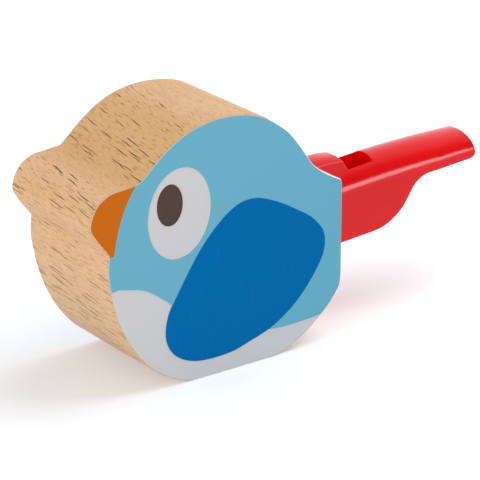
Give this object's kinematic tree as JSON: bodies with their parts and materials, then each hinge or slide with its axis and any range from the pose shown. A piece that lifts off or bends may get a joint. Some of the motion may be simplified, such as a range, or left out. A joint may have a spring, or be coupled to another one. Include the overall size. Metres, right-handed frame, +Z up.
{
  "type": "bird call",
  "caption": "Toy bird call: a thick wooden block cut as a bird with printed faces, and a moulded whistle that slides in and out of its tail over a fixed piston.",
  "frame": {"origin": "middle of the whole toy's box in plan, on the plane of its flat bottom", "axes": "+X from the beak to the mouthpiece, +Z up, +Y through the thickness of the block"},
  "size_m": [0.1101, 0.03, 0.0573],
  "materials": {
    "beech": "sanded natural beech with short dark pores, waxed",
    "white_print": "white printed base coat, satin",
    "light_blue_print": "light blue printed ink, satin",
    "deep_blue_print": "deep blue printed ink, satin",
    "orange_print": "orange printed ink, satin",
    "brown_print": "dark brown printed ink, satin",
    "red_plastic": "injection moulded red plastic, glossy",
    "dark_red_plastic": "moulded deep red plastic",
    "birch": "turned birch dowel, unfinished",
    "ivory_plastic": "moulded plastic, smooth",
    "felt": "dense grey felt"
  },
  "bodies": {
    "bird": {"bird_body": "beech", "base_coat": "white_print", "plumage_print": "light_blue_print", "wing_print": "deep_blue_print", "beak_print": "orange_print", "pupil_print": "brown_print", "piston_rod": "birch", "piston_head": "ivory_plastic", "piston_seal": "felt"},
    "whistle": {"whistle_shell": "red_plastic", "voicing_block": "red_plastic", "windway_plug": "dark_red_plastic", "rod_guide": "dark_red_plastic"}
  },
  "joints": [
    {"name": "whistle_slide", "type": "slide", "parent": "bird", "child": "whistle", "axis": [0.9976, 0, 0.0698], "range_m": [0, 0.018]}
  ]
}
